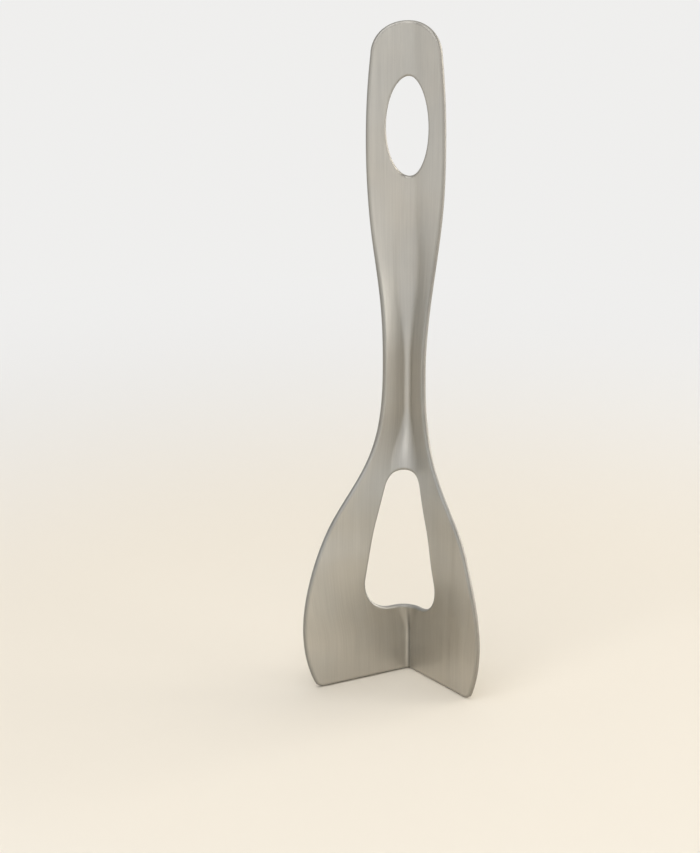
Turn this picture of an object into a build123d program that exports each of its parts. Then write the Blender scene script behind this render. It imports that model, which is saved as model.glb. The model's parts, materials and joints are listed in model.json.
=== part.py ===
"""Butter cutter: one stainless steel sheet, blanked, folded down its middle and pressed.

The fold runs straight up the back along +Z. Below it stand two flat blades at a right angle,
which cut a square corner off a block. Above them the two arms of a window bow forward, close
into a sharply folded neck, and open again into a shallow, softly folded handle with a hanging
hole.
The open side of the fold faces -Y, and X = 0 is the plane of symmetry.
"""

import os
from math import ceil, cos, radians, sin, tan

from build123d import *

# ---- Sheet ----
sheet_thickness = 1.2
rim_chamfer = 0.3  # broken edges along the two long rims of the blank

# ---- Outline seen from the front: heights above the blades' edges, and half widths ----
overall_height = 148.9
handle_end_half_width = 8.2
handle_end_rise = 7.3  # the end is a half ellipse this high
grip_height = 122.5  # widest place of the handle
grip_half_width = 9.15
handle_middle_height = 104.0
handle_middle_half_width = 8.2
handle_foot_height = 86.0
handle_foot_half_width = 5.85
neck_height = 69.5  # narrowest place of the whole tool
neck_half_width = 5.1
shoulder_height = 51.5
shoulder_half_width = 7.95
arm_height = 38.0
arm_half_width = 14.9
cheek_height = 26.5
cheek_half_width = 18.65
blade_widest_height = 14.5
blade_half_width = 20.4
blade_foot_half_width = 17.9
blade_corner_radius = 1.6

# ---- Fold: angle of each wing from the plane of symmetry, inside radius, bow forward ----
blade_wing_angle = 45.0
arm_wing_angle = 50.0
neck_wing_angle = 38.0
handle_wing_angle = 64.0
handle_end_wing_angle = 66.0
crease_radius = 1.2
window_fold_radius = 5.0
handle_fold_radius = 4.5
arm_bow = 3.9
neck_bow = 0.95
handle_set_back = 0.3  # the handle's fold stands this far behind the straight crease

# ---- Heights where the pressed form changes ----
crease_top = 9.0  # the straight sharp crease of the blades ends here
bow_start = 31.0  # the arms stand fully forward from here
bow_end = 38.0  # and up to here
window_fold_foot = 20.0  # the bend is widest from here
window_fold_head = 47.0  # and up to here
neck_crease_foot = 63.0  # the sharp crease of the neck starts here
neck_crease_head = 72.0  # and ends here, where the wings open into the handle
neck_bow_height = 60.0
handle_fold_height = 98.0  # the fold is straight and evenly soft from here
handle_wing_height = 115.0

# ---- Window, drawn on the plane of one arm: heights, and widths from the fold ----
window_foot_height = 16.0
window_head_height = 48.7
window_foot_half_width = 10.45
window_head_half_width = 3.5
window_side_bulge = 1.55
window_foot_radius = 7.4
window_head_radius = 5.0

# ---- Hanging hole, an upright oval ----
hanging_hole_drop = 23.1  # from the handle's end to the middle of the hole
hanging_hole_half_width = 4.95
hanging_hole_half_height = 11.0

# ---- Lofting ----
station_pitch = 3.0  # largest step between two sections
end_steps = (0.4, 1.2)  # closer sections hold the surface straight at both ends
reach = 12.0  # length of the cutting tools either way, past the sheet they cut


def eased(height, stops):
    """Value at a height, easing from each (height, value) stop to the next."""
    for (low, start), (high, end) in zip(stops, stops[1:]):
        if height <= high:
            share = max(0.0, (height - low) / (high - low))
            return start + (end - start) * share * share * (3 - 2 * share)
    return stops[-1][1]


def wing_angle(height):
    return eased(
        height,
        [
            (crease_top, blade_wing_angle),
            ((bow_start + bow_end) / 2, arm_wing_angle),
            (neck_crease_foot, neck_wing_angle),
            (neck_crease_head, neck_wing_angle),
            (handle_wing_height, handle_wing_angle),
            (overall_height - handle_end_rise, handle_end_wing_angle),
        ],
    )


def fold_radius(height):
    return eased(
        height,
        [
            (crease_top, crease_radius),
            (window_fold_foot, window_fold_radius),
            (window_fold_head, window_fold_radius),
            (neck_crease_foot, crease_radius),
            (neck_crease_head, crease_radius),
            (handle_fold_height, handle_fold_radius),
        ],
    )


def bend_depth(radius, angle):
    """Distance from the bottom of a bend to the point where the two flats would meet."""
    return radius * (1 / sin(radians(angle)) - 1)


def bow(height):
    """How far the bottom of the fold stands forward of the straight crease."""
    forward = eased(
        height,
        [
            (crease_top, 0.0),
            (bow_start, arm_bow),
            (bow_end, arm_bow),
            (neck_bow_height, neck_bow),
            (handle_fold_height, -handle_set_back),
        ],
    )
    if height < neck_crease_foot:  # a softer bend leaves the flats in their place
        forward += bend_depth(fold_radius(height) - crease_radius, wing_angle(height))
    return forward


with BuildLine(Plane.XZ) as outline:
    side = Spline(
        (blade_foot_half_width, 0),
        (blade_half_width, blade_widest_height),
        (cheek_half_width, cheek_height),
        (arm_half_width, arm_height),
        (shoulder_half_width, shoulder_height),
        (neck_half_width, neck_height),
        (handle_foot_half_width, handle_foot_height),
        (handle_middle_half_width, handle_middle_height),
        (grip_half_width, grip_height),
        (handle_end_half_width, overall_height - handle_end_rise),
    )


def half_width(height):
    """Half width of the outline at a height, read off the side curve by halving."""
    if height >= overall_height - handle_end_rise:
        return handle_end_half_width
    low, high = 0.0, 1.0
    while high - low > 1e-9:
        middle = (low + high) / 2
        if side.position_at(middle).Z < height:
            low = middle
        else:
            high = middle
    return side.position_at(low).X


def section(height):
    """The folded sheet where a level plane cuts it."""
    angle = radians(wing_angle(height))
    along, across = Vector(sin(angle), -cos(angle)), Vector(cos(angle), sin(angle))
    inner_radius = fold_radius(height)
    outer_radius = inner_radius + sheet_thickness
    centre = Vector(0, -sheet_thickness / 2 - bow(height) - inner_radius)
    inner_bend = centre + across * inner_radius
    outer_bend = centre + across * outer_radius
    wing = (half_width(height) - outer_bend.X) / sin(angle)
    right = [
        inner_bend,
        inner_bend + along * (wing - rim_chamfer),
        inner_bend + along * wing + across * rim_chamfer,
        outer_bend + along * wing - across * rim_chamfer,
        outer_bend + along * (wing - rim_chamfer),
        outer_bend,
    ]
    left = [Vector(-point.X, point.Y) for point in reversed(right)]
    with BuildSketch(Plane.XY.offset(height)) as drawn:
        with BuildLine():
            ThreePointArc(left[-1], centre + Vector(0, inner_radius), right[0])
            Polyline(*right)
            ThreePointArc(right[-1], centre + Vector(0, outer_radius), left[0])
            Polyline(*left)
        make_face()
    return drawn.sketch


def wing_plane(angle, forward):
    """The plane of the +X wing: its x runs out from the fold, its y is the height."""
    along = (sin(radians(angle)), -cos(radians(angle)), 0)
    inwards = (-cos(radians(angle)), -sin(radians(angle)), 0)
    return Plane(origin=(0, -sheet_thickness / 2 - forward, 0), x_dir=along, z_dir=inwards)


# ---- Cutting tools, square to each wing ----
arm_plane = wing_plane(arm_wing_angle, arm_bow - bend_depth(crease_radius, arm_wing_angle))
with BuildPart() as window_tool:
    with BuildSketch(arm_plane) as half_window:
        with BuildLine():
            sill = Line(
                (-window_foot_half_width, window_foot_height),
                (window_foot_half_width, window_foot_height),
            )
            jamb = SagittaArc(
                sill @ 1, (window_head_half_width, window_head_height), -window_side_bulge
            )
            lintel = Line(jamb @ 1, (-window_foot_half_width, window_head_height))
            Line(lintel @ 1, sill @ 0)
        make_face()
        fillet(half_window.vertices().sort_by_distance(sill @ 1)[0], window_foot_radius)
        fillet(half_window.vertices().sort_by_distance(jamb @ 1)[0], window_head_radius)
    extrude(amount=reach, both=True)
    split(bisect_by=Plane.YZ, keep=Keep.TOP)
    mirror(about=Plane.YZ)

# The hole's sides are square to the wings, so it narrows towards the open side
hole_height = overall_height - hanging_hole_drop
hole_wing_angle = wing_angle(hole_height)
hole_slope = radians(90 - hole_wing_angle)
hole_depth = (
    bow(hole_height)
    + hanging_hole_half_width * tan(hole_slope)
    - bend_depth(handle_fold_radius + sheet_thickness / 2, hole_wing_angle)
)
with BuildPart() as hanging_hole_tool:
    for reached in (-2 * sheet_thickness, 2 * sheet_thickness):
        with BuildSketch(Plane.XZ.offset(hole_depth + reached)):
            with Locations((0, hole_height)):
                Ellipse(
                    hanging_hole_half_width - reached * tan(hole_slope), hanging_hole_half_height
                )
    loft(ruled=True)

blade_length = blade_foot_half_width / sin(radians(blade_wing_angle)) - sheet_thickness
foot_slope = side % 0  # direction of the outline where it leaves the foot
foot_lean = foot_slope.X / foot_slope.Z / sin(radians(blade_wing_angle))
corner_size = 3 * blade_corner_radius
with BuildPart() as blade_corner_tool:
    with BuildSketch(wing_plane(blade_wing_angle, -bend_depth(crease_radius, blade_wing_angle))):
        with Locations((blade_length, 0)):
            Rectangle(2 * corner_size, 2 * corner_size)
        with BuildLine():
            corner = FilletPolyline(
                (blade_length - corner_size, 0),
                (blade_length, 0),
                (blade_length + corner_size * foot_lean, corner_size),
                radius=blade_corner_radius,
            )
            Polyline(corner @ 1, (blade_length - corner_size, corner_size), corner @ 0)
        make_face(mode=Mode.SUBTRACT)
    extrude(amount=2 * sheet_thickness, both=True)
    mirror(about=Plane.YZ)

with BuildPart() as handle_end_tool:
    with BuildSketch(Plane.XZ):
        with Locations((0, overall_height)):
            Rectangle(4 * handle_end_half_width, 2 * handle_end_rise)
        with Locations((0, overall_height - handle_end_rise)):
            Ellipse(handle_end_half_width, handle_end_rise, mode=Mode.SUBTRACT)
    extrude(amount=reach, both=True)

# ---- The folded body ----
steps = ceil(overall_height / station_pitch)
stations = [overall_height * step / steps for step in range(steps + 1)]
stations += end_steps + tuple(overall_height - step for step in end_steps)

with BuildPart() as cutter_body:
    loft(sections=[section(station) for station in sorted(stations)])
    for tool in (hanging_hole_tool, handle_end_tool, window_tool, blade_corner_tool):
        add(tool.part, mode=Mode.SUBTRACT)

cutter_body.part.label = "cutter_body"
os.makedirs("parts", exist_ok=True)
export_step(cutter_body.part, "parts/cutter_body.step")
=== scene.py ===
"""A folded steel butter cutter, dressed for rendering.

The sheet starts as a flat blank, is cut, folded over its bend and given its thickness. It gets a
satin finish, brushed lengthwise, and stands on a plain pale floor under soft lamps.
"""

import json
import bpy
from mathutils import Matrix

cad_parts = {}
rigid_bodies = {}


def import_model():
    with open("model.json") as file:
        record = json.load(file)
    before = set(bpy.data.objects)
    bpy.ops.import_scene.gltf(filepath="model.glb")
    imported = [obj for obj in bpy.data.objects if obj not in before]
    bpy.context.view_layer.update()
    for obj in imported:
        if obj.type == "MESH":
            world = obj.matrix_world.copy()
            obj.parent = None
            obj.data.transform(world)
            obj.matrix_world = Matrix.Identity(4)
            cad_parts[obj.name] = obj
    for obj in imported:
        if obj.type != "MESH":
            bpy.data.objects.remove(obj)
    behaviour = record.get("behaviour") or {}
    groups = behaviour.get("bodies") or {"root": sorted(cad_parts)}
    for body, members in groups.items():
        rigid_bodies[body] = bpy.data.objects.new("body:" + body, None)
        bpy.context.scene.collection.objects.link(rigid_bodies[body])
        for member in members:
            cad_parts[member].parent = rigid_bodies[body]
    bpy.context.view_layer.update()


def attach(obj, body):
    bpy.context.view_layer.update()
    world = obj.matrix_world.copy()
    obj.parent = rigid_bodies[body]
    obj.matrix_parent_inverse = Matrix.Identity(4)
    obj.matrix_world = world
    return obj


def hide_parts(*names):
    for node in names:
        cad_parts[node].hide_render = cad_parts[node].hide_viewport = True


bl_info = {
    "name": "Butter cutter",
    "version": (1, 0, 0),
    "blender": (4, 5, 0),
    "location": "View3D > Sidebar > Butter cutter",
    "description": "Builds a butter cutter folded from one steel sheet, its finish and a studio",
    "category": "Object",
}

from math import cos, pi, radians, sin

import bpy
import numpy as np
from mathutils import Matrix, Vector

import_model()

MM = 0.001
CUTTER_NODE = "cutter_body"
CUTTER_BODY = "root"

# Height above the blades' edges at which the outline has each of these half widths
WIDTH_LEVELS = {
    "blade_foot": 0.0,
    "blade": 14.5 * MM,
    "cheek": 26.5 * MM,
    "arm": 38 * MM,
    "shoulder": 51.5 * MM,
    "neck": 69.5 * MM,
    "handle_foot": 86 * MM,
    "handle_middle": 104 * MM,
    "grip": 122.5 * MM,
}
# Heights between which the fold eases from one form to the next, from the blades' crease upwards
CREASE_TOP = 9 * MM
BEND_WIDE_FROM = 20 * MM
BOW_FULL_FROM = 31 * MM
ARMS_OPEN = 34.5 * MM
BOW_FULL_TO = 38 * MM
BEND_WIDE_TO = 47 * MM
NECK_BOWED = 60 * MM
NECK_FOOT = 63 * MM
NECK_TOP = 72 * MM
HANDLE_SOFT = 98 * MM
HANDLE_OPEN = 115 * MM
# More than the sheet's reach from the fold to the rim, laid flat
FLAT_REACH = 32 * MM
# The handle's end is a little fuller than an ellipse, whose fullness is 1
CAP_FULLNESS = 0.88
# How many points draw each curve, and how many are tried to look a place up on the folded sheet
OUTLINE_POINTS = 4000
CORNER_POINTS = 40
WINDOW_SIDE_POINTS = 200
HOLE_POINTS = 121
RIM_POINTS = 700
CAP_POINTS = 160
LOOKUP_POINTS = 400
# Points closer than this are the same one
SAME_PLACE = 0.0001 * MM

# The blank's flow of faces, counted from the foot up and from the fold outwards
ROWS = 190
HALF_COLUMNS = 36
BEND_COLUMNS = 9
WINDOW_COLUMNS = 18
HOLE_COLUMNS = 16
# In the even grid, the window's block of cut faces ends this far inside its sill and its top, and
# the hole's block has this share of its height
WINDOW_FOOT_GAP = 1.2 * MM
WINDOW_HEAD_GAP = 1.0 * MM
HOLE_SHARE = 0.74
# An outline faces this many degrees below and above level where the grid's corners are put
CORNER_FACING = 45.0
HOLE_CORNER_FACING = 32.0
EASING_PASSES = 500

# The belt ran up the piece, leaning a little, so that no face looks straight along it
BRUSHED_ALONG = (0.02, 0.05, 1.0)
BRUSH_DEPTH = 0.02 * MM
# Noise mostly stays within this range, which is stretched to run from 0 to 1
NOISE_RANGE = (0.3, 0.7)
# Share of the plain steel colour over the clouds' tints
PLAIN_SHARE = 0.4
# Factors on the steel's colour, from the darkest to the palest place of each pattern
BROAD_LINES = (0.94, 1.035)
FINE_LINES = (0.95, 1.04)
SOFT_PATCHES = (0.955, 1.03)
# The same on the cut edges, and for the painted shade of a dark line inside the blades' fold, where
# shade falls in the crease
CUT_EDGE_SHADE = 0.62
PAINTED_FOLD_SHADE = 0.4
# The painted shade line lies a little to the right of the fold, to the side the light leaves
# darker, and fades across it, upwards and towards the back
FOLD_SHADE_OFFSET = 0.3 * MM
FOLD_SHADE_FADE = (0.1 * MM, 0.7 * MM)
FOLD_SHADE_HEIGHTS = (11 * MM, 17 * MM)
FOLD_SHADE_FACING = (-0.6, -0.2)
# Factors on the roughness: over the broad lines, and on the cut edges
BROAD_ROUGHNESS = (0.85, 1.15)
CUT_EDGE_ROUGHNESS = 1.4

STAGE_SIZE = 6.0
FLOOR_DROP = 0.1 * MM
BACKDROP_MIDDLE = (0, 2.0, 1.5)
STAGE_CLOUDS = (0.985, 1.0)
STAGE_ROUGHNESS = 0.9
STAGE_SHINE = 0.2
# The surroundings are as pale as the backdrop up to the first angle, plain above the second
HORIZON_BAND = (radians(9), radians(17))
# The lamps' aim and distance, their widths and heights in metres, and their tints
LAMP_AIM = Vector((0.0, 0.0, 0.075))
LAMP_DISTANCE = 1.0
SOFT_BOX = (0.9, 0.9)
STRIP = (0.8, 0.5)
WARM_LIGHT = (1.0, 0.955, 0.88)
PLAIN_LIGHT = (1.0, 1.0, 1.0)
COOL_LIGHT = (0.97, 0.985, 1.0)
# The camera's place in metres, its angles, and its lens and sensor in millimetres
CAMERA_PLACE = (0.12903, -0.59428, 0.22521)
CAMERA_TURN = radians(13.5)
CAMERA_RISE = radians(15.4)
CAMERA_ROLL = radians(-0.33)
CAMERA_LENS = 118.17
CAMERA_SENSOR = 36.0


# ---- Sizes, colours and lamps that a user would change ----
def length(name, text, millimetres):
    return bpy.props.FloatProperty(
        name=name, description=text, default=millimetres * MM, unit="LENGTH", precision=5
    )


def angle(name, text, degrees):
    return bpy.props.FloatProperty(
        name=name, description=text, default=radians(degrees), subtype="ANGLE"
    )


def colour(name, text, *value):
    return bpy.props.FloatVectorProperty(
        name=name, description=text, default=(*value, 1.0), size=4, subtype="COLOR", min=0, max=1
    )


def number(name, text, value):
    return bpy.props.FloatProperty(name=name, description=text, default=value, min=0.0)


class CutterSizes(bpy.types.PropertyGroup):
    thickness: length("Thickness", "Thickness of the steel sheet", 1.2)
    edge_rounding: length("Edge rounding", "Radius of every softened edge", 0.5)
    edge_margin: length("Edge margin", "Width of the even strip kept along every edge", 0.7)
    height: length("Height", "From the blades' edges to the handle's end", 148.9)
    blade_foot: length("Blade foot", "Half width at the blades' edges", 17.9)
    blade: length("Blade", "Half width at the widest place of the blades", 20.38)
    cheek: length("Cheek", "Half width beside the foot of the window", 18.65)
    arm: length("Arm", "Half width at the middle of the window", 14.9)
    shoulder: length("Shoulder", "Half width above the window", 7.95)
    neck: length("Neck", "Half width at the narrowest place", 5.1)
    handle_foot: length("Handle foot", "Half width where the handle starts", 5.85)
    handle_middle: length("Handle middle", "Half width at the middle of the handle", 8.2)
    grip: length("Grip", "Half width at the widest place of the handle", 9.15)
    handle_end: length("Handle end", "Half width where the end starts to round", 8.2)
    end_rise: length("End rise", "Height of the handle's rounded end", 7.3)
    corner_radius: length("Corner radius", "Radius of the corner at each blade's foot", 1.6)
    crease_radius: length("Crease radius", "Inside radius of the sharp creases", 1.2)
    window_bend: length("Window bend", "Inside radius of the bend above and below the window", 5.0)
    handle_bend: length("Handle bend", "Inside radius of the handle's soft fold", 4.5)
    arm_bow: length("Arm bow", "How far the arms stand forward", 3.9)
    neck_bow: length("Neck bow", "How far the neck stands forward", 0.95)
    set_back: length("Set back", "How far the handle's fold stands behind the blades'", 0.3)
    blade_angle: angle("Blade angle", "Angle of each blade from the middle plane", 45.0)
    arm_angle: angle("Arm angle", "Angle of each arm from the middle plane", 50.0)
    neck_angle: angle("Neck angle", "Angle of each side of the neck", 38.0)
    handle_angle: angle("Handle angle", "Angle of each side of the handle", 64.0)
    end_angle: angle("End angle", "Angle of each side at the handle's end", 66.0)
    window_foot: length("Window foot", "Height of the window's sill", 16.0)
    window_head: length("Window head", "Height of the window's top", 48.7)
    window_foot_width: length("Window foot width", "Half width of the window at its sill", 10.25)
    window_head_width: length("Window head width", "Half width of the window at its top", 3.35)
    window_bulge: length("Window bulge", "How far each side of the window curves out", 1.55)
    window_foot_radius: length("Window foot radius", "Radius of the lower corners", 7.4)
    window_head_radius: length("Window head radius", "Radius of the upper corners", 5.0)
    hole_drop: length("Hole drop", "From the handle's end to the middle of the hole", 23.1)
    hole_width: length("Hole width", "Half width of the hanging hole", 4.85)
    hole_height: length("Hole height", "Half height of the hanging hole", 11.0)


# The steel's colour and its tints are warmer than plain steel: partly the steel's own tone, partly
# a painted reflection of warm things round it
class SteelFinish(bpy.types.PropertyGroup):
    steel: colour("Steel", "Colour of the satin steel", 0.56, 0.54, 0.497)
    warm: colour("Warm tint", "Colour of the warmer clouds in the finish", 0.60, 0.555, 0.48)
    cool: colour("Cool tint", "Colour of the cooler clouds in the finish", 0.52, 0.525, 0.51)
    roughness: number("Roughness", "Roughness of the satin finish", 0.4)
    brushing: number("Brushing", "Depth of the brush lines", 0.3)
    sweep: number("Sweep", "How far the brushing draws reflections out across the sheet", 0.5)


class StudioSettings(bpy.types.PropertyGroup):
    floor: colour("Floor", "Colour of the floor round the cutter", 0.84, 0.78, 0.68)
    backdrop: colour("Backdrop", "Colour of the backdrop and the far floor", 0.865, 0.86, 0.85)
    near: length("Near", "Distance at which the floor starts to turn into the backdrop", 90.0)
    far: length("Far", "Distance at which the floor has become the backdrop", 420.0)
    world: number("Surroundings", "Strength of the light from above the horizon", 0.2)
    front: number("Front lamp", "Power of the lamp high in front, in watts", 4.3)
    left: number("Left lamp", "Power of the lamp high on the left, in watts", 1.0)
    back: number("Back lamp", "Power of the lamp high behind, in watts", 0.8)
    top: number("Top lamp", "Power of the lamp overhead, in watts", 4.0)
    low_right: number("Right strip", "Power of the strip low on the right, in watts", 2.4)
    low_rear: number("Rear strip", "Power of the strip low behind on the right, in watts", 5.8)


# ---- Laws of the folded sheet ----
def eased(height, stops):
    """Value at each height, easing from each (height, value) stop to the next."""
    heights, values = np.array(stops, float).T
    place = np.clip(np.searchsorted(heights, height, side="left") - 1, 0, len(stops) - 2)
    share = (height - heights[place]) / (heights[place + 1] - heights[place])
    share = np.clip(share, 0.0, 1.0)
    return values[place] + (values[place + 1] - values[place]) * share**2 * (3 - 2 * share)


def clamped_curve(knots, values, at):
    """Smooth curve through the knots; each end leaves as a cubic through its four nearest knots."""
    steps = np.diff(knots)
    rises = np.diff(values) / steps**2
    count = len(knots)
    matrix, right = np.zeros((count, count)), np.zeros(count)
    for i in range(1, count - 1):
        matrix[i, i - 1 : i + 2] = 1 / steps[i - 1], 2 / steps[i - 1] + 2 / steps[i], 1 / steps[i]
        right[i] = 3 * (rises[i - 1] + rises[i])
    for end, near in ((0, slice(0, 4)), (count - 1, slice(count - 4, count))):
        matrix[end, end] = 1
        middle = knots[near].mean()
        cubic = np.polyfit(knots[near] - middle, values[near], 3)
        right[end] = np.polyval(np.polyder(cubic), knots[end] - middle)
    slopes = np.linalg.solve(matrix, right)
    place = np.clip(np.searchsorted(knots, at) - 1, 0, count - 2)
    step = steps[place]
    share = (at - knots[place]) / step
    return (
        values[place] * (1 + 2 * share) * (1 - share) ** 2
        + values[place + 1] * share**2 * (3 - 2 * share)
        + step * slopes[place] * share * (1 - share) ** 2
        + step * slopes[place + 1] * share**2 * (share - 1)
    )


def walked_along(points):
    """Distance of each point from the first, along the line through them."""
    return np.concatenate([[0], np.cumsum(np.hypot(*np.diff(points, axis=0).T))])


class Fold:
    """The folded sheet's middle surface, as laws of the height."""

    def __init__(self, sizes):
        self.sizes = sizes
        self.half_thickness = sizes.thickness / 2
        self.cap_start = sizes.height - sizes.end_rise
        widths = [getattr(sizes, name) for name in WIDTH_LEVELS]
        stations = [*zip(widths, WIDTH_LEVELS.values()), (sizes.handle_end, self.cap_start)]
        points = np.array(stations)
        chords = walked_along(points)
        at = np.linspace(0, chords[-1], OUTLINE_POINTS)
        self.outline = [clamped_curve(chords, points[:, axis], at) for axis in (0, 1)]

    def wing(self, z):
        s = self.sizes
        stops = [
            (CREASE_TOP, s.blade_angle),
            (ARMS_OPEN, s.arm_angle),
            (NECK_FOOT, s.neck_angle),
            (NECK_TOP, s.neck_angle),
            (HANDLE_OPEN, s.handle_angle),
            (self.cap_start, s.end_angle),
        ]
        return eased(z, stops)

    def inside_radius(self, z):
        s = self.sizes
        stops = [
            (CREASE_TOP, s.crease_radius),
            (BEND_WIDE_FROM, s.window_bend),
            (BEND_WIDE_TO, s.window_bend),
            (NECK_FOOT, s.crease_radius),
            (NECK_TOP, s.crease_radius),
            (HANDLE_SOFT, s.handle_bend),
        ]
        return eased(z, stops)

    def radius(self, z):
        return self.inside_radius(z) + self.half_thickness

    def bow(self, z):
        s = self.sizes
        stops = [
            (CREASE_TOP, 0.0),
            (BOW_FULL_FROM, s.arm_bow),
            (BOW_FULL_TO, s.arm_bow),
            (NECK_BOWED, s.neck_bow),
            (HANDLE_SOFT, -s.set_back),
        ]
        # Below the neck the flats stay in their place where the bend gets softer
        softer = (self.inside_radius(z) - s.crease_radius) * (1 / np.sin(self.wing(z)) - 1)
        return eased(z, stops) + np.where(z < NECK_FOOT, softer, 0.0)

    def half_width(self, z):
        return np.interp(z, self.outline[1], self.outline[0])

    def bend(self, z):
        """Arc length of half the bend."""
        return self.radius(z) * (pi / 2 - self.wing(z))

    def flat_width(self, z):
        """Arc length from the fold to the rim, laid flat."""
        wing = self.wing(z)
        outer_radius = self.inside_radius(z) + 2 * self.half_thickness
        return self.bend(z) + (self.half_width(z) - outer_radius * np.cos(wing)) / np.sin(wing)

    def place(self, s, z):
        """Where a point of the blank ends up: s across from the fold, z up."""
        wing, radius = self.wing(z), self.radius(z)
        turned = np.minimum(np.abs(s), self.bend(z)) / radius
        beyond = np.maximum(np.abs(s) - self.bend(z), 0.0)
        x = radius * np.sin(turned) + beyond * np.sin(wing)
        y = -self.bow(z) - radius * (1 - np.cos(turned)) - beyond * np.cos(wing)
        return np.sign(s) * x, y, z

    def laid_flat(self, measure, wanted, z):
        """The blank's points at which a measure of the placed point has the wanted value."""
        across = np.empty_like(z)
        s = np.linspace(0.0, FLAT_REACH, LOOKUP_POINTS)
        for i, (value, height) in enumerate(zip(wanted, z)):
            x, y, _ = self.place(s, np.full_like(s, height))
            across[i] = np.interp(value, measure(x, y), s)
        return np.stack([across, z], 1)


# ---- Outlines drawn on the blank: right-hand halves, from the lowest point to the highest ----
def arc(centre, radius, start, end, count=CORNER_POINTS):
    turn = np.radians(np.linspace(start, end, count))
    return np.stack([centre[0] + radius * np.cos(turn), centre[1] + radius * np.sin(turn)], 1)


def seen_from_front(x, y):
    """Measure of an outline that is cut straight through from the front."""
    return x


def corner_inside(side, radius, corner_radius, corner_z):
    """Centre of a corner at this height that touches a side's big arc from within, and its turn."""
    reach = radius - corner_radius
    centre = np.array([side[0] + np.sqrt(reach**2 - (corner_z - side[1]) ** 2), corner_z])
    return centre, np.degrees(np.arctan2(*(centre - side)[::-1]))


def window_outline(fold):
    """Half of the window, drawn on the plane of an arm and cut square to it."""
    s = fold.sizes
    foot = np.array([s.window_foot_width, s.window_foot])
    head = np.array([s.window_head_width, s.window_head])
    chord = head - foot
    span = np.hypot(*chord)
    radius = (span**2 / 4 + s.window_bulge**2) / (2 * s.window_bulge)
    outward = np.array([chord[1], -chord[0]]) / span
    side = (foot + head) / 2 - outward * (radius - s.window_bulge)
    foot_z, head_z = foot[1] + s.window_foot_radius, head[1] - s.window_head_radius
    foot_corner, foot_turn = corner_inside(side, radius, s.window_foot_radius, foot_z)
    head_corner, head_turn = corner_inside(side, radius, s.window_head_radius, head_z)
    pieces = [
        np.array([[0.0, foot[1]]]),
        arc(foot_corner, s.window_foot_radius, -90, foot_turn),
        arc(side, radius, foot_turn, head_turn, WINDOW_SIDE_POINTS)[1:],
        arc(head_corner, s.window_head_radius, head_turn, 90)[1:],
        np.array([[0.0, head[1]]]),
    ]
    drawn = np.concatenate([piece[piece[:, 0] >= 0] for piece in pieces])
    behind = s.arm_bow - s.crease_radius * (1 / sin(s.arm_angle) - 1)

    def across_arm(x, y):
        return x * sin(s.arm_angle) - (y + fold.half_thickness + behind) * cos(s.arm_angle)

    outline = fold.laid_flat(across_arm, drawn[:, 0], drawn[:, 1])
    outline[[0, -1], 0] = 0.0
    return outline


def hole_outline(fold):
    """Half of the hanging hole, an ellipse seen from the front."""
    s = fold.sizes
    turn = np.linspace(-pi / 2, pi / 2, HOLE_POINTS)
    z = s.height - s.hole_drop + s.hole_height * np.sin(turn)
    return fold.laid_flat(seen_from_front, s.hole_width * np.cos(turn), z)


def blade_corner(fold):
    """The rounded corner at a blade's foot, which touches the lower edge and the rim above."""
    radius = fold.sizes.corner_radius
    z = np.linspace(0, 4 * radius, LOOKUP_POINTS)
    x = fold.half_width(z) - fold.half_thickness * np.cos(fold.wing(z))
    lean = np.arctan2(-np.gradient(x, z), 1.0)
    inner_x, inner_z = x - radius * np.cos(lean), z - radius * np.sin(lean)
    steps = np.arange(len(z))
    touching = np.interp(radius, inner_z, steps)
    centre = np.array([np.interp(touching, steps, inner_x), radius])
    drawn = arc(centre, radius, -90, np.degrees(np.interp(touching, steps, lean)))
    return fold.laid_flat(seen_from_front, drawn[:, 0], drawn[:, 1])


def rim_outline(fold):
    """The blank's own outline, from the middle of its foot round to the middle of its end."""
    s = fold.sizes
    corner = blade_corner(fold)
    z = np.linspace(corner[-1, 1], fold.cap_start, RIM_POINTS)[1:]
    side = np.stack([fold.flat_width(z), z], 1)
    turn = np.linspace(0, pi / 2, CAP_POINTS)[1:]
    narrowing = fold.half_thickness * cos(s.end_angle)
    x = (s.handle_end - narrowing) * np.cos(turn) ** CAP_FULLNESS
    cap = fold.laid_flat(seen_from_front, x, fold.cap_start + s.end_rise * np.sin(turn))
    cap[-1, 0] = 0.0
    return np.concatenate([np.array([[0.0, 0.0]]), corner, side, cap])


class Path:
    """A drawn half outline that can be walked by its length."""

    def __init__(self, points):
        steps = np.hypot(*np.diff(points, axis=0).T)
        keep = np.concatenate([[True], steps > SAME_PLACE])
        self.points = points[keep]
        self.walked = walked_along(self.points)
        run = np.gradient(self.points, self.walked, axis=0)
        run /= np.hypot(*run.T)[:, None]
        self.outward = np.stack([run[:, 1], -run[:, 0]], 1)

    def at(self, distance):
        point = [np.interp(distance, self.walked, self.points[:, i]) for i in (0, 1)]
        normal = [np.interp(distance, self.walked, self.outward[:, i]) for i in (0, 1)]
        return np.stack(point, 1), np.stack(normal, 1)

    def walk_to(self, direction):
        """Distance at which the outline first faces this direction, in degrees above level."""
        facing = np.degrees(np.arctan2(self.outward[:, 1], self.outward[:, 0]))
        return np.interp(direction, np.maximum.accumulate(facing), self.walked)


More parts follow.
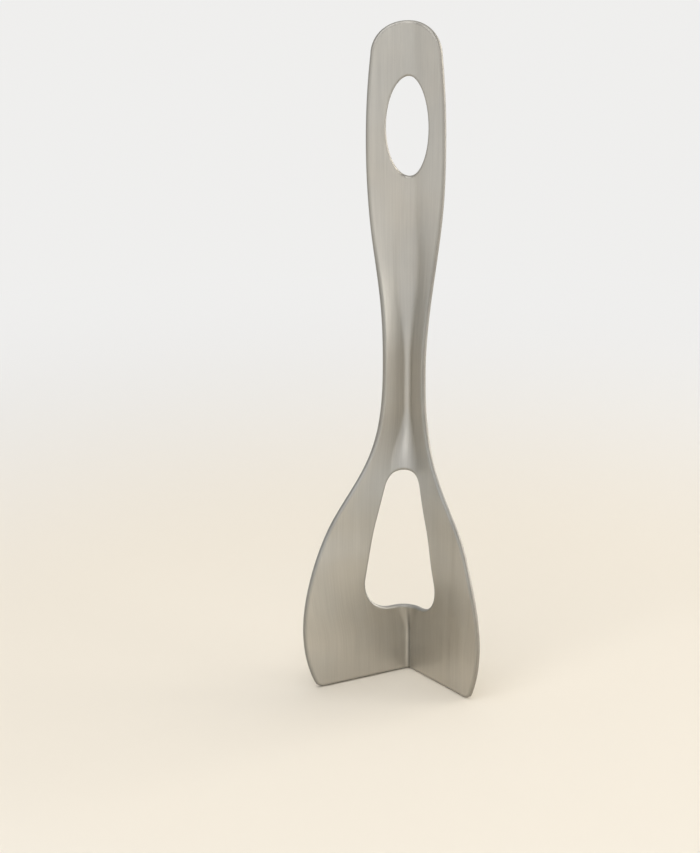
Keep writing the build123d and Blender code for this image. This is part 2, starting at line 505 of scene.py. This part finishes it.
# ---- Blank, cut and folded ----
class Blank:
    """The flat sheet's grid: its rims are pinned to the outlines, and the rest eases between."""

    def __init__(self, fold, vertices):
        self.fold = fold
        self.margin = fold.sizes.edge_margin
        coordinates = np.empty(len(vertices) * 3)
        vertices.foreach_get("co", coordinates)
        x, y = coordinates.reshape(-1, 3)[:, :2].T
        self.column = np.rint(x / x.max() * HALF_COLUMNS).astype(int)
        self.row = np.rint((y - y.min()) / (y.max() - y.min()) * ROWS).astype(int)
        self.index = {place: i for i, place in enumerate(zip(self.column, self.row))}
        self.laid = self.even_flow()
        # Where the cut edge beside each pinned vertex lies, and where each vertex itself goes
        self.edge = np.full_like(self.laid, np.nan)
        self.target = self.laid.copy()

    def even_flow(self):
        """Even flow of the faces, closer over the bend, before the openings shape it."""
        z = self.row / ROWS * self.fold.sizes.height
        level = np.minimum(z, self.fold.cap_start)
        flat = self.fold.flat_width(level)
        closest = np.minimum(self.fold.bend(level) * HALF_COLUMNS / BEND_COLUMNS, flat)
        share = np.abs(self.column) / HALF_COLUMNS
        across = np.sign(self.column) * (closest * share + (flat - closest) * share**2)
        return np.stack([across, z], 1)

    def nearest_row(self, z):
        return int(round(z / self.fold.sizes.height * ROWS))

    def shares(self, places):
        """How far out each place of a row lies, as a share of the last one's reach."""
        reach = np.array([abs(self.laid[self.index[place], 0]) for place in places])
        return reach / reach[-1]

    def pin(self, path, places, distances, side, inset):
        """Pins places to a half outline or its mirror image, and sets the grid back from it."""
        points, outward = path.at(distances)
        mirror = np.array([side, 1.0])
        for place, point, normal in zip(places, points, outward):
            self.edge[self.index[place]] = point * mirror
            self.target[self.index[place]] = (point - inset * normal) * mirror

    def pin_rim(self, path):
        """Pins the grid's outer rim to the blank's outline."""
        lower, upper = path.walk_to(-CORNER_FACING), path.walk_to(CORNER_FACING)
        total = path.walked[-1]
        for side in (-1, 1):
            outermost = [(side * HALF_COLUMNS, r) for r in range(ROWS + 1)]
            walked = walked_along(self.laid[[self.index[place] for place in outermost]])
            run = lower + (upper - lower) * walked / walked[-1]
            self.pin(path, outermost, run, side, self.margin)
            foot = [(side * c, 0) for c in range(HALF_COLUMNS + 1)]
            self.pin(path, foot, lower * self.shares(foot), side, self.margin)
            end = [(side * c, ROWS) for c in range(HALF_COLUMNS + 1)]
            self.pin(path, end, total - (total - upper) * self.shares(end), side, self.margin)

    def pin_opening(self, path, facing, block):
        """Pins the rim of a block of faces to an opening's outline, which faces into the steel."""
        width, low, high = block
        lower, upper = path.walk_to(-facing), path.walk_to(facing)
        total = path.walked[-1]
        rows = np.arange(low, high + 1)
        for side in (-1, 1):
            flank = [(side * width, r) for r in rows]
            run = lower + (upper - lower) * (rows - low) / (high - low)
            self.pin(path, flank, run, side, -self.margin)
            sill = [(side * c, low) for c in range(width + 1)]
            self.pin(path, sill, lower * self.shares(sill), side, -self.margin)
            top = [(side * c, high) for c in range(width + 1)]
            self.pin(path, top, total - (total - upper) * self.shares(top), side, -self.margin)

    def pinned(self):
        return ~np.isnan(self.edge[:, 0])

    def shaped(self):
        """The grid with its pinned vertices' shifts eased over the rest."""
        pinned = self.pinned()
        field = np.zeros((2 * HALF_COLUMNS + 1, ROWS + 1, 2))
        fixed = np.zeros(field.shape[:2], bool)
        place = (self.column + HALF_COLUMNS, self.row)
        field[place] = np.where(pinned[:, None], self.target - self.laid, 0.0)
        fixed[place] = pinned
        for _ in range(EASING_PASSES):
            padded = np.pad(field, ((1, 1), (1, 1), (0, 0)), mode="edge")
            beside = padded[:-2, 1:-1] + padded[2:, 1:-1] + padded[1:-1, :-2] + padded[1:-1, 2:]
            field = np.where(fixed[..., None], field, beside / 4)
        return self.laid + field[place]


def only_selected(piece):
    for other in bpy.context.view_layer.objects:
        other.select_set(False)
    piece.select_set(True)
    bpy.context.view_layer.objects.active = piece


def finish_with(piece, kind, name, **settings):
    """Adds a modifier and applies it."""
    only_selected(piece)
    modifier = piece.modifiers.new(name, kind)
    for key, value in settings.items():
        setattr(modifier, key, value)
    bpy.ops.object.modifier_apply(modifier=modifier.name)


def fresh_grid(height):
    """A square grid of faces, as long as the blank is high."""
    bpy.ops.object.select_all(action="DESELECT")
    bpy.ops.mesh.primitive_grid_add(
        x_subdivisions=2 * HALF_COLUMNS, y_subdivisions=ROWS, size=height, location=(0, 0, 0)
    )
    grid = bpy.context.object
    if len(grid.data.vertices) != (2 * HALF_COLUMNS + 1) * (ROWS + 1):
        raise RuntimeError(f"the blank's grid has {len(grid.data.vertices)} vertices")
    return grid


def cut_blank(mesh, blank, shaped, blocks):
    """Gives the grid the blank's shape and takes out each opening's block of faces."""
    bpy.ops.object.mode_set(mode="EDIT")
    bpy.ops.mesh.select_mode(type="FACE")
    bpy.ops.mesh.select_all(action="DESELECT")
    bpy.ops.object.mode_set(mode="OBJECT")
    faces = np.empty(len(mesh.polygons) * 4, int)
    mesh.polygons.foreach_get("vertices", faces)
    faces = faces.reshape(-1, 4)
    column, row = blank.column[faces].mean(1), blank.row[faces].mean(1)
    cut = np.zeros(len(faces), bool)
    for width, low, high in blocks:
        cut |= (np.abs(column) < width) & (row > low) & (row < high)
    mesh.polygons.foreach_set("select", cut)
    flat = np.stack([shaped[:, 0], shaped[:, 1], np.zeros(len(shaped))], 1)
    mesh.vertices.foreach_set("co", flat.ravel())
    bpy.ops.object.mode_set(mode="EDIT")
    bpy.ops.mesh.delete(type="FACE")
    bpy.ops.object.mode_set(mode="OBJECT")


def draw_out_edges(mesh, blank, shaped):
    """Draws an even strip out along every cut edge; gives all places and which ones end it."""
    bpy.ops.object.mode_set(mode="EDIT")
    bpy.ops.mesh.select_mode(type="EDGE")
    bpy.ops.mesh.select_all(action="DESELECT")
    bpy.ops.mesh.select_non_manifold(
        extend=False, use_wire=False, use_boundary=True, use_multi_face=False,
        use_non_contiguous=False, use_verts=False,
    )
    bpy.ops.mesh.extrude_region_move()
    bpy.ops.object.mode_set(mode="OBJECT")
    drawn = np.zeros(len(mesh.vertices), bool)
    mesh.vertices.foreach_get("select", drawn)
    flat = np.empty(len(mesh.vertices) * 3)
    mesh.vertices.foreach_get("co", flat)
    flat = flat.reshape(-1, 3)
    pins = np.flatnonzero(blank.pinned())
    for i in np.flatnonzero(drawn):
        gap = np.hypot(*(shaped[pins] - flat[i, :2]).T)
        flat[i, :2] = blank.edge[pins[gap.argmin()]]
    return flat, drawn


def fold_up(mesh, fold, flat, drawn):
    """Folds the blank, whose x runs across the sheet and whose y runs up the fold."""
    folded = np.stack(fold.place(flat[:, 0], flat[:, 1]), 1)
    mesh.vertices.foreach_set("co", folded.ravel())
    rim = mesh.attributes.new("rim", "FLOAT", "POINT")
    rim.data.foreach_set("value", drawn.astype(float))
    sheet = mesh.attributes.new("sheet", "FLOAT_VECTOR", "POINT")
    sheet.data.foreach_set("vector", flat.ravel())
    mesh.update()


def give_thickness(cutter, sizes):
    """Thickens the folded sheet, softens its edges and turns its faces outwards."""
    finish_with(
        cutter, "SOLIDIFY", "sheet", thickness=sizes.thickness, offset=0.0,
        use_even_offset=True, use_quality_normals=True, use_rim=True,
    )
    finish_with(
        cutter, "BEVEL", "soft edges", width=sizes.edge_rounding, segments=3,
        limit_method="ANGLE", angle_limit=radians(55), use_clamp_overlap=False,
    )
    only_selected(cutter)
    bpy.ops.object.mode_set(mode="EDIT")
    bpy.ops.mesh.select_all(action="SELECT")
    bpy.ops.mesh.normals_make_consistent(inside=False)
    bpy.ops.object.mode_set(mode="OBJECT")
    bpy.ops.object.shade_smooth()


class OBJECT_OT_folded_cutter(bpy.types.Operator):
    """Cut the blank, fold it over its bend and give it its thickness"""

    bl_idname = "object.folded_cutter"
    bl_label = "Folded cutter"

    def execute(self, context):
        sizes = context.scene.cutter_sizes
        fold = Fold(sizes)
        cutter = fresh_grid(sizes.height)
        mesh = cutter.data
        cutter.name = mesh.name = "cutter"

        blank = Blank(fold, mesh.vertices)
        window = (
            WINDOW_COLUMNS,
            blank.nearest_row(sizes.window_foot + WINDOW_FOOT_GAP),
            blank.nearest_row(sizes.window_head - WINDOW_HEAD_GAP),
        )
        hole_middle = sizes.height - sizes.hole_drop
        hole = (
            HOLE_COLUMNS,
            blank.nearest_row(hole_middle - HOLE_SHARE * sizes.hole_height),
            blank.nearest_row(hole_middle + HOLE_SHARE * sizes.hole_height),
        )
        blank.pin_rim(Path(rim_outline(fold)))
        blank.pin_opening(Path(window_outline(fold)), CORNER_FACING, window)
        blank.pin_opening(Path(hole_outline(fold)), HOLE_CORNER_FACING, hole)

        shaped = blank.shaped()
        cut_blank(mesh, blank, shaped, (window, hole))
        flat, drawn = draw_out_edges(mesh, blank, shaped)
        fold_up(mesh, fold, flat, drawn)
        give_thickness(cutter, sizes)

        mesh.materials.clear()
        mesh.materials.append(satin_steel(context.scene.steel_finish))
        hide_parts(CUTTER_NODE)
        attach(cutter, CUTTER_BODY)
        return {"FINISHED"}


# ---- Nodes ----
def feed(tree, socket, value):
    """Links another node's socket to this one, or sets a plain value on it."""
    if isinstance(value, bpy.types.NodeSocket):
        tree.links.new(value, socket)
    else:
        socket.default_value = value


def add_node(tree, kind, x, y, inputs=None, **settings):
    node = tree.nodes.new(kind)
    node.location = (x, y)
    for key, value in settings.items():
        setattr(node, key, value)
    for title, value in (inputs or {}).items():
        feed(tree, node.inputs[title], value)
    return node


def mixed(tree, kind, factor, first, second, x, y, blend="MIX"):
    """Mix node of colours or numbers; each of the three may be a socket or a value."""
    first_in, second_in, result = {"FLOAT": (2, 3, 0), "RGBA": (6, 7, 2)}[kind]
    node = add_node(tree, "ShaderNodeMix", x, y, data_type=kind, blend_type=blend)
    for place, value in ((0, factor), (first_in, first), (second_in, second)):
        feed(tree, node.inputs[place], value)
    return node.outputs[result]


def scaled_to(tree, value, ends, x, y, over=(0.0, 1.0), ease="LINEAR"):
    """Goes from one end to the other over this range of the value, and no further."""
    (start, stop), (low, high) = over, ends
    inputs = {"Value": value, "From Min": start, "From Max": stop, "To Min": low, "To Max": high}
    node = add_node(tree, "ShaderNodeMapRange", x, y, inputs, interpolation_type=ease)
    return node.outputs["Result"]


def joined(tree, operation, first, second, x, y):
    """Math node over two sockets or values."""
    node = add_node(tree, "ShaderNodeMath", x, y, {0: first, 1: second}, operation=operation)
    return node.outputs["Value"]


def clouded(tree, vector, scale, detail, x, y, roughness=0.5):
    """Noise that is stretched to fill the range from 0 to 1."""
    inputs = {"Vector": vector, "Scale": scale, "Detail": detail, "Roughness": roughness}
    noise = add_node(tree, "ShaderNodeTexNoise", x, y, inputs)
    return scaled_to(tree, noise.outputs["Fac"], (0.0, 1.0), x + 300, y, over=NOISE_RANGE)


def new_group(name, numbers, results):
    """Node group with a place, some numbers with their defaults, and the results named here."""
    group = bpy.data.node_groups.new(name, "ShaderNodeTree")
    vector = group.interface.new_socket("Vector", in_out="INPUT", socket_type="NodeSocketVector")
    vector.description = "Place on the piece, in metres"
    for title, default in numbers.items():
        socket = group.interface.new_socket(title, in_out="INPUT", socket_type="NodeSocketFloat")
        socket.default_value = default
    for title in results:
        group.interface.new_socket(title, in_out="OUTPUT", socket_type="NodeSocketFloat")
    start = add_node(group, "NodeGroupInput", -900, 0)
    end = add_node(group, "NodeGroupOutput", 500, 0)
    return group, start.outputs, end.inputs


def new_material(name):
    material = bpy.data.materials.new(name)
    material.use_nodes = True
    tree = material.node_tree
    shader = tree.nodes["Principled BSDF"]
    shader.location = (600, 0)
    tree.nodes["Material Output"].location = (1050, 0)
    return material, tree, shader


# ---- Finish ----
def soft_clouds():
    """Cloudy variation, for the steel and for the stage."""
    name = "Soft clouds"
    if name in bpy.data.node_groups:
        return bpy.data.node_groups[name]
    group, start, end = new_group(name, {"Size": 30.0, "Detail": 2.0}, ["Clouds"])
    clouds = clouded(group, start["Vector"], start["Size"], start["Detail"], -250, 0)
    feed(group, end["Clouds"], clouds)
    return group


def brush_lines():
    """Fine lines that run up the piece, broken in length as a belt leaves them."""
    name = "Brush lines"
    if name in bpy.data.node_groups:
        return bpy.data.node_groups[name]
    group, start, end = new_group(name, {"Across": 3500.0, "Along": 90.0}, ["Fine", "Broad"])
    sizes = {"X": start["Across"], "Y": start["Along"], "Z": start["Across"]}
    stretch = add_node(group, "ShaderNodeCombineXYZ", -700, -150, sizes).outputs["Vector"]
    factors = {0: start["Vector"], 1: stretch}
    scaled = add_node(group, "ShaderNodeVectorMath", -500, 0, factors, operation="MULTIPLY")
    for title, scale, detail, y in (("Fine", 1.0, 3.0, 150), ("Broad", 0.12, 4.0, -150)):
        lines = clouded(group, scaled.outputs["Vector"], scale, detail, -250, y, roughness=0.6)
        feed(group, end[title], lines)
    return group


def place_group(tree, group, vector, x, y, **numbers):
    """A shared group, read at this place and with these numbers."""
    inputs = {"Vector": vector, **numbers}
    return add_node(tree, "ShaderNodeGroup", x, y, inputs, node_tree=group).outputs


def painted_fold_shade(tree, sheet, normal):
    """Painted shade: a dark line inside the sharp fold between the blades, where shade falls in the
    crease.
    """
    blank = add_node(tree, "ShaderNodeSeparateXYZ", -650, -1000, {"Vector": sheet}).outputs
    facing = add_node(tree, "ShaderNodeSeparateXYZ", -650, -1200, {"Vector": normal}).outputs
    offset = joined(tree, "SUBTRACT", blank["X"], FOLD_SHADE_OFFSET, -550, -900)
    distance = add_node(tree, "ShaderNodeMath", -450, -1000, {0: offset}, operation="ABSOLUTE")
    fading = (1.0, 0.0)
    line = scaled_to(tree, distance.outputs["Value"], fading, -250, -1000, over=FOLD_SHADE_FADE)
    low = scaled_to(tree, blank["Y"], fading, -250, -1150, over=FOLD_SHADE_HEIGHTS)
    inside = scaled_to(tree, facing["Y"], fading, -250, -1300, over=FOLD_SHADE_FACING)
    along = joined(tree, "MULTIPLY", line, low, -50, -1050)
    fold_shade_mask = joined(tree, "MULTIPLY", along, inside, 100, -1100)
    return scaled_to(tree, fold_shade_mask, (1.0, PAINTED_FOLD_SHADE), 250, -1050)


def satin_steel(finish):
    """Brushed steel with soft patches, duller on its cut edges."""
    material, tree, shader = new_material("Satin steel")
    place = add_node(tree, "ShaderNodeTexCoord", -900, -100).outputs
    sheet = add_node(tree, "ShaderNodeAttribute", -900, 200, attribute_name="sheet").outputs
    rim = add_node(tree, "ShaderNodeAttribute", -900, -400, attribute_name="rim").outputs
    lines = place_group(tree, brush_lines(), sheet["Vector"], -650, 200, Across=3200.0, Along=70.0)
    clouds = place_group(tree, soft_clouds(), place["Object"], -650, -100, Size=32.0, Detail=3.0)
    patches = place_group(tree, soft_clouds(), place["Object"], -650, -700, Size=75.0, Detail=2.0)

    tint = mixed(tree, "RGBA", clouds["Clouds"], finish.cool, finish.warm, -350, 300)
    steel = mixed(tree, "RGBA", PLAIN_SHARE, tint, finish.steel, -150, 300)
    broad = scaled_to(tree, lines["Broad"], BROAD_LINES, -350, 100)
    fine = scaled_to(tree, lines["Fine"], FINE_LINES, -350, -100)
    lined = joined(tree, "MULTIPLY", broad, fine, -150, 50)
    mottled = scaled_to(tree, patches["Clouds"], SOFT_PATCHES, -350, -700)
    face = joined(tree, "MULTIPLY", lined, mottled, -50, -50)
    cut = scaled_to(tree, rim["Fac"], (1.0, CUT_EDGE_SHADE), -350, -400)
    both = joined(tree, "MULTIPLY", face, cut, 50, 0)
    # Painted shade along the inside of the blades' fold darkens the steel's colour there
    fold = painted_fold_shade(tree, sheet["Vector"], place["Normal"])
    shade = joined(tree, "MULTIPLY", both, fold, 150, 100)
    shaded = mixed(tree, "RGBA", 1.0, steel, shade, 300, 250, blend="MULTIPLY")

    satin_range = [finish.roughness * share for share in BROAD_ROUGHNESS]
    satin = scaled_to(tree, lines["Broad"], satin_range, -150, -150)
    worn = mixed(tree, "FLOAT", rim["Fac"], satin, finish.roughness * CUT_EDGE_ROUGHNESS, 150, -150)

    # The brushed faces draw reflections out across the sheet, the cut edges don't
    swept = scaled_to(tree, rim["Fac"], (finish.sweep, 0.0), 350, -600)
    across = add_node(
        tree, "ShaderNodeVectorMath", 350, -800, {0: place["Normal"], 1: BRUSHED_ALONG},
        operation="CROSS_PRODUCT",
    )
    relief = {"Strength": finish.brushing, "Distance": BRUSH_DEPTH, "Height": lines["Fine"]}
    bump = add_node(tree, "ShaderNodeBump", 350, -350, relief)
    for title, value in (
        ("Base Color", shaded),
        ("Metallic", 1.0),
        ("Roughness", worn),
        ("Anisotropic", swept),
        ("Tangent", across.outputs["Vector"]),
        ("Normal", bump.outputs["Normal"]),
    ):
        feed(tree, shader.inputs[title], value)
    return material


# ---- Stage ----
def stage_material(studio):
    """Matt near the cutter, where it takes the shadow; the plain backdrop colour further away."""
    material, tree, shader = new_material("Stage")
    place = add_node(tree, "ShaderNodeTexCoord", -900, 0).outputs
    spot = {0: place["Object"]}
    reach = add_node(tree, "ShaderNodeVectorMath", -700, 200, spot, operation="LENGTH")
    turning = (studio.near, studio.far)
    away = scaled_to(
        tree, reach.outputs["Value"], (0.0, 1.0), -450, 200, over=turning, ease="SMOOTHSTEP"
    )
    tone = mixed(tree, "RGBA", away, studio.floor, studio.backdrop, -200, 200)
    clouds = place_group(tree, soft_clouds(), place["Object"], -450, -100, Size=3.0, Detail=2.0)
    shade = scaled_to(tree, clouds["Clouds"], STAGE_CLOUDS, -200, -100)
    shaded = mixed(tree, "RGBA", 1.0, tone, shade, 100, 0, blend="MULTIPLY")
    feed(tree, shader.inputs["Base Color"], shaded)
    feed(tree, shader.inputs["Roughness"], STAGE_ROUGHNESS)
    feed(tree, shader.inputs["Specular IOR Level"], STAGE_SHINE)

    # Seen, straight or in the steel, the far floor is as pale as the backdrop, however it is lit
    path = add_node(tree, "ShaderNodeLightPath", -450, 700).outputs
    seen = joined(tree, "MAXIMUM", path["Is Camera Ray"], path["Is Glossy Ray"], -200, 600)
    plain = joined(tree, "MULTIPLY", seen, away, 0, 500)
    colours = {"Color": studio.backdrop, "Strength": 1.0}
    pale = add_node(tree, "ShaderNodeEmission", 600, 250, colours).outputs["Emission"]
    sides = {0: plain, 1: shader.outputs["BSDF"], 2: pale}
    blend = add_node(tree, "ShaderNodeMixShader", 850, 200, sides)
    feed(tree, tree.nodes["Material Output"].inputs["Surface"], blend.outputs["Shader"])
    return material


def pale_surroundings(studio):
    """World that is as pale as the backdrop round the horizon, and plain soft light above."""
    world = bpy.data.worlds.new("Surroundings")
    world.use_nodes = True
    tree = world.node_tree
    sky = tree.nodes["Background"]
    sky.location = (300, 0)
    tree.nodes["World Output"].location = (550, 0)
    place = add_node(tree, "ShaderNodeTexCoord", -700, 0).outputs
    axes = add_node(tree, "ShaderNodeSeparateXYZ", -450, 0, {"Vector": place["Generated"]})
    band = [sin(rise) for rise in HORIZON_BAND]
    above = scaled_to(tree, axes.outputs["Z"], (0.0, 1.0), -200, 0, over=band, ease="SMOOTHSTEP")
    level = (studio.world, studio.world, studio.world, 1.0)
    light = mixed(tree, "RGBA", above, studio.backdrop, level, 50, 0)
    feed(tree, sky.inputs["Color"], light)
    return world


def away_from(azimuth, elevation):
    """Direction from the cutter at this azimuth, 0 in front, and elevation."""
    level = cos(elevation)
    return Vector((sin(azimuth) * level, -cos(azimuth) * level, sin(elevation)))


def soft_lamp(name, watts, size, azimuth, elevation, tint):
    """Rectangular lamp that shines on the cutter from this azimuth and elevation, in degrees."""
    lamp = bpy.data.lights.new(name, "AREA")
    lamp.shape = "RECTANGLE"
    lamp.size, lamp.size_y = size
    lamp.energy = watts
    lamp.color = tint
    lamp_object = bpy.data.objects.new(name, lamp)
    bpy.context.collection.objects.link(lamp_object)
    away = away_from(radians(azimuth), radians(elevation))
    lamp_object.location = LAMP_AIM + away * LAMP_DISTANCE
    lamp_object.rotation_euler = away.to_track_quat("Z", "Y").to_euler()


def place_camera(scene):
    """Sets the camera in front, a little to the right and above, and makes it the scene's."""
    camera = bpy.data.objects.new("camera", bpy.data.cameras.new("camera"))
    bpy.context.collection.objects.link(camera)
    camera.data.sensor_fit = "AUTO"
    camera.data.sensor_width = CAMERA_SENSOR
    camera.data.lens = CAMERA_LENS
    camera.data.clip_start = 10 * MM
    back = away_from(CAMERA_TURN, CAMERA_RISE)
    right = Vector((cos(CAMERA_TURN), sin(CAMERA_TURN), 0.0))
    up = back.cross(right)
    across = right * cos(CAMERA_ROLL) + up * sin(CAMERA_ROLL)
    upward = -right * sin(CAMERA_ROLL) + up * cos(CAMERA_ROLL)
    turned = Matrix((across, upward, back)).transposed().to_4x4()
    camera.matrix_world = Matrix.Translation(CAMERA_PLACE) @ turned
    scene.camera = camera


def stage_plane(name, location, rotation, material):
    """Big flat face, with its place in its mesh."""
    bpy.ops.object.select_all(action="DESELECT")
    bpy.ops.mesh.primitive_plane_add(size=STAGE_SIZE, location=location, rotation=rotation)
    plane = bpy.context.object
    plane.name = plane.data.name = name
    bpy.ops.object.transform_apply(location=True, rotation=True, scale=True)
    plane.data.materials.append(material)
    return plane


class OBJECT_OT_studio(bpy.types.Operator):
    """Set the floor and backdrop, the lamps and the camera"""

    bl_idname = "object.studio"
    bl_label = "Studio"

    def execute(self, context):
        studio = context.scene.studio_settings
        pale = stage_material(studio)
        floor = stage_plane("floor", (0, 0, -FLOOR_DROP), (0, 0, 0), pale)
        backdrop = stage_plane("backdrop", BACKDROP_MIDDLE, (pi / 2, 0, 0), pale)

        for name, watts, size, azimuth, elevation, tint in (
            ("front lamp", studio.front, SOFT_BOX, -10, 40, PLAIN_LIGHT),
            ("left lamp", studio.left, SOFT_BOX, -100, 40, COOL_LIGHT),
            ("back lamp", studio.back, SOFT_BOX, 180, 40, PLAIN_LIGHT),
            ("top lamp", studio.top, SOFT_BOX, 0, 80, PLAIN_LIGHT),
            ("right strip", studio.low_right, STRIP, 80, 14, WARM_LIGHT),
            ("rear strip", studio.low_rear, STRIP, 120, 14, WARM_LIGHT),
        ):
            soft_lamp(name, watts, size, azimuth, elevation, tint)
        context.scene.world = pale_surroundings(studio)
        place_camera(context.scene)
        context.scene.view_settings.view_transform = "Standard"
        return {"FINISHED"}


# ---- Panel ----
class VIEW3D_PT_butter_cutter(bpy.types.Panel):
    bl_label = "Butter cutter"
    bl_space_type = "VIEW_3D"
    bl_region_type = "UI"
    bl_category = "Butter cutter"

    def draw(self, context):
        layout = self.layout
        for title, settings, operator in (
            ("Folded cutter", context.scene.cutter_sizes, "object.folded_cutter"),
            ("Finish", context.scene.steel_finish, None),
            ("Studio", context.scene.studio_settings, "object.studio"),
        ):
            box = layout.box()
            box.label(text=title)
            for name in settings.__annotations__:
                box.prop(settings, name)
            if operator:
                box.operator(operator)


SETTINGS = {
    "cutter_sizes": CutterSizes,
    "steel_finish": SteelFinish,
    "studio_settings": StudioSettings,
}
OPERATORS = (OBJECT_OT_folded_cutter, OBJECT_OT_studio)


def register():
    for name, group in SETTINGS.items():
        bpy.utils.register_class(group)
        setattr(bpy.types.Scene, name, bpy.props.PointerProperty(type=group))
    for kind in (*OPERATORS, VIEW3D_PT_butter_cutter):
        bpy.utils.register_class(kind)


def unregister():
    for kind in (VIEW3D_PT_butter_cutter, *reversed(OPERATORS)):
        bpy.utils.unregister_class(kind)
    for name, group in reversed(SETTINGS.items()):
        delattr(bpy.types.Scene, name)
        bpy.utils.unregister_class(group)


def main():
    register()
    bpy.ops.object.folded_cutter()
    bpy.ops.object.studio()


if __name__ == "__main__":
    main()
